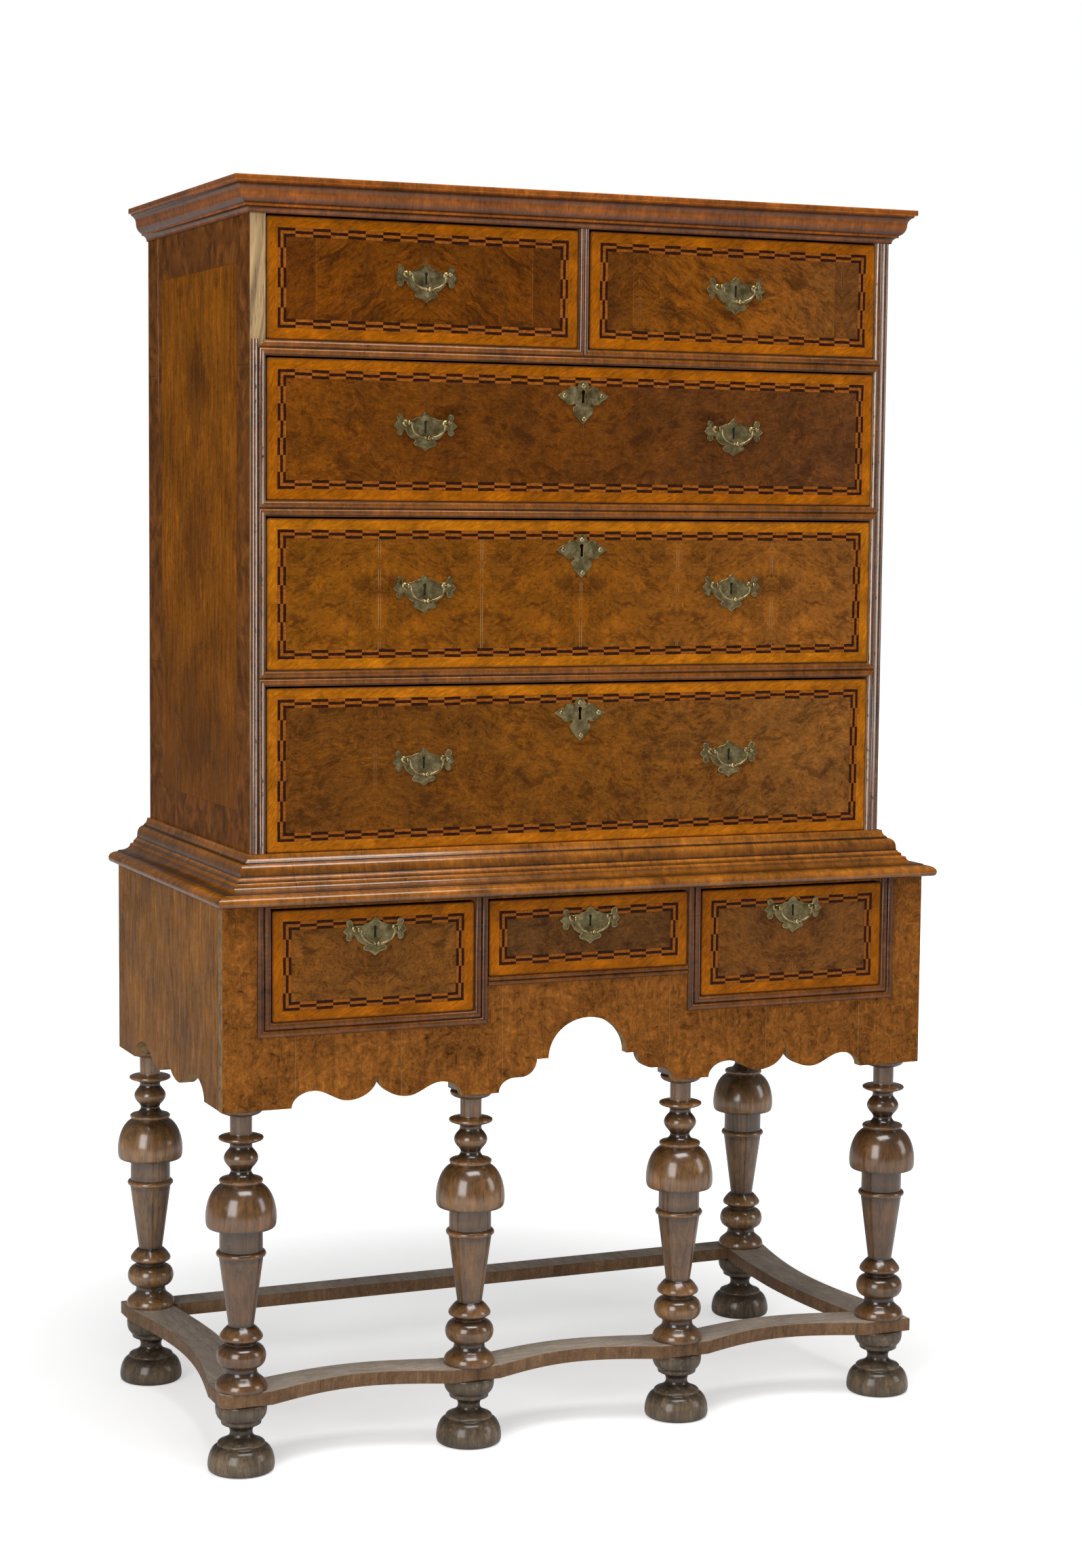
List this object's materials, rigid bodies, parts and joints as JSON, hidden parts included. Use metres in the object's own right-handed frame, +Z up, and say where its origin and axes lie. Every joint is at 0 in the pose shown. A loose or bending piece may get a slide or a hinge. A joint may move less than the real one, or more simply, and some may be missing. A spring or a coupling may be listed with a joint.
{
  "type": "chest on stand",
  "caption": "Walnut chest on stand with short and long drawers, moulded cornice, shaped apron, turned legs, flat shaped stretcher and swinging brass bails.",
  "frame": {"origin": "on the floor, at the centre of the bounding box in plan", "axes": "+Z up, the drawers face -Y and slide out along -Y, +X to the right seen from the front"},
  "size_m": [1.022, 0.524, 1.63],
  "materials": {
    "walnut_veneer": "gloss",
    "walnut_moulding": "gloss",
    "oak_carcase": "matte",
    "turned_wood": "gloss",
    "brass": "satin"
  },
  "bodies": {
    "carcase": {"cornice_top": "walnut_moulding", "foot_front_inner_left": "turned_wood", "foot_front_inner_right": "turned_wood", "foot_front_left": "turned_wood", "foot_front_right": "turned_wood", "foot_rear_left": "turned_wood", "foot_rear_right": "turned_wood", "leg_front_inner_left": "turned_wood", "leg_front_inner_right": "turned_wood", "leg_front_left": "turned_wood", "leg_front_right": "turned_wood", "leg_rear_left": "turned_wood", "leg_rear_right": "turned_wood", "rail_bottom": "walnut_moulding", "rail_middle": "walnut_moulding", "rail_top": "walnut_moulding", "stand_back_frame": "oak_carcase", "stand_front": "walnut_veneer", "stand_side_left": "walnut_veneer", "stand_side_right": "walnut_veneer", "stretcher_front": "turned_wood", "stretcher_rear": "turned_wood", "upper_back": "oak_carcase", "upper_bottom": "oak_carcase", "upper_side_left": "walnut_veneer", "upper_side_right": "walnut_veneer", "waist_moulding": "walnut_moulding"},
    "drawer_short_left": {"drawer_short_left": "walnut_veneer", "plate_short_left": "brass"},
    "drawer_short_right": {"drawer_short_right": "walnut_veneer", "plate_short_right": "brass"},
    "drawer_upper": {"drawer_upper": "walnut_veneer", "escutcheon_upper": "brass", "plate_upper_left": "brass", "plate_upper_right": "brass"},
    "drawer_middle": {"drawer_middle": "walnut_veneer", "escutcheon_middle": "brass", "plate_middle_left": "brass", "plate_middle_right": "brass"},
    "drawer_lower": {"drawer_lower": "walnut_veneer", "escutcheon_lower": "brass", "plate_lower_left": "brass", "plate_lower_right": "brass"},
    "stand_drawer_left": {"stand_drawer_left": "walnut_veneer", "plate_stand_left": "brass"},
    "stand_drawer_centre": {"stand_drawer_centre": "walnut_veneer", "plate_stand_centre": "brass"},
    "stand_drawer_right": {"stand_drawer_right": "walnut_veneer", "plate_stand_right": "brass"},
    "bail_lower_left": {"bail_lower_left": "brass"},
    "bail_lower_right": {"bail_lower_right": "brass"},
    "bail_middle_left": {"bail_middle_left": "brass"},
    "bail_middle_right": {"bail_middle_right": "brass"},
    "bail_short_left": {"bail_short_left": "brass"},
    "bail_short_right": {"bail_short_right": "brass"},
    "bail_stand_centre": {"bail_stand_centre": "brass"},
    "bail_stand_left": {"bail_stand_left": "brass"},
    "bail_stand_right": {"bail_stand_right": "brass"},
    "bail_upper_left": {"bail_upper_left": "brass"},
    "bail_upper_right": {"bail_upper_right": "brass"}
  },
  "joints": [
    {"name": "drawer_short_left_slide", "type": "slide", "parent": "carcase", "child": "drawer_short_left", "axis": [0, -1, 0], "range_m": [0, 0.34]},
    {"name": "drawer_short_right_slide", "type": "slide", "parent": "carcase", "child": "drawer_short_right", "axis": [0, -1, 0], "range_m": [0, 0.34]},
    {"name": "drawer_upper_slide", "type": "slide", "parent": "carcase", "child": "drawer_upper", "axis": [0, -1, 0], "range_m": [0, 0.34]},
    {"name": "drawer_middle_slide", "type": "slide", "parent": "carcase", "child": "drawer_middle", "axis": [0, -1, 0], "range_m": [0, 0.34]},
    {"name": "drawer_lower_slide", "type": "slide", "parent": "carcase", "child": "drawer_lower", "axis": [0, -1, 0], "range_m": [0, 0.34]},
    {"name": "stand_drawer_left_slide", "type": "slide", "parent": "carcase", "child": "stand_drawer_left", "axis": [0, -1, 0], "range_m": [0, 0.34]},
    {"name": "stand_drawer_centre_slide", "type": "slide", "parent": "carcase", "child": "stand_drawer_centre", "axis": [0, -1, 0], "range_m": [0, 0.34]},
    {"name": "stand_drawer_right_slide", "type": "slide", "parent": "carcase", "child": "stand_drawer_right", "axis": [0, -1, 0], "range_m": [0, 0.34]},
    {"name": "bail_lower_left_hinge", "type": "hinge", "parent": "drawer_lower", "child": "bail_lower_left", "pos_m": [-0.219, -0.2143, 0.9049], "axis": [-1, 0, 0], "range_deg": [-15, 150]},
    {"name": "bail_lower_right_hinge", "type": "hinge", "parent": "drawer_lower", "child": "bail_lower_right", "pos_m": [0.219, -0.2143, 0.9049], "axis": [-1, 0, 0], "range_deg": [-15, 150]},
    {"name": "bail_middle_left_hinge", "type": "hinge", "parent": "drawer_middle", "child": "bail_middle_left", "pos_m": [-0.219, -0.2143, 1.12675], "axis": [-1, 0, 0], "range_deg": [-15, 150]},
    {"name": "bail_middle_right_hinge", "type": "hinge", "parent": "drawer_middle", "child": "bail_middle_right", "pos_m": [0.219, -0.2143, 1.12675], "axis": [-1, 0, 0], "range_deg": [-15, 150]},
    {"name": "bail_short_left_hinge", "type": "hinge", "parent": "drawer_short_left", "child": "bail_short_left", "pos_m": [-0.219, -0.2143, 1.5191], "axis": [-1, 0, 0], "range_deg": [-15, 150]},
    {"name": "bail_short_right_hinge", "type": "hinge", "parent": "drawer_short_right", "child": "bail_short_right", "pos_m": [0.219, -0.2143, 1.5191], "axis": [-1, 0, 0], "range_deg": [-15, 150]},
    {"name": "bail_stand_centre_hinge", "type": "hinge", "parent": "stand_drawer_centre", "child": "bail_stand_centre", "pos_m": [0, -0.2543, 0.6955], "axis": [-1, 0, 0], "range_deg": [-15, 150]},
    {"name": "bail_stand_left_hinge", "type": "hinge", "parent": "stand_drawer_left", "child": "bail_stand_left", "pos_m": [-0.299, -0.2543, 0.6955], "axis": [-1, 0, 0], "range_deg": [-15, 150]},
    {"name": "bail_stand_right_hinge", "type": "hinge", "parent": "stand_drawer_right", "child": "bail_stand_right", "pos_m": [0.299, -0.2543, 0.6955], "axis": [-1, 0, 0], "range_deg": [-15, 150]},
    {"name": "bail_upper_left_hinge", "type": "hinge", "parent": "drawer_upper", "child": "bail_upper_left", "pos_m": [-0.219, -0.2143, 1.3327], "axis": [-1, 0, 0], "range_deg": [-15, 150]},
    {"name": "bail_upper_right_hinge", "type": "hinge", "parent": "drawer_upper", "child": "bail_upper_right", "pos_m": [0.219, -0.2143, 1.3327], "axis": [-1, 0, 0], "range_deg": [-15, 150]}
  ]
}
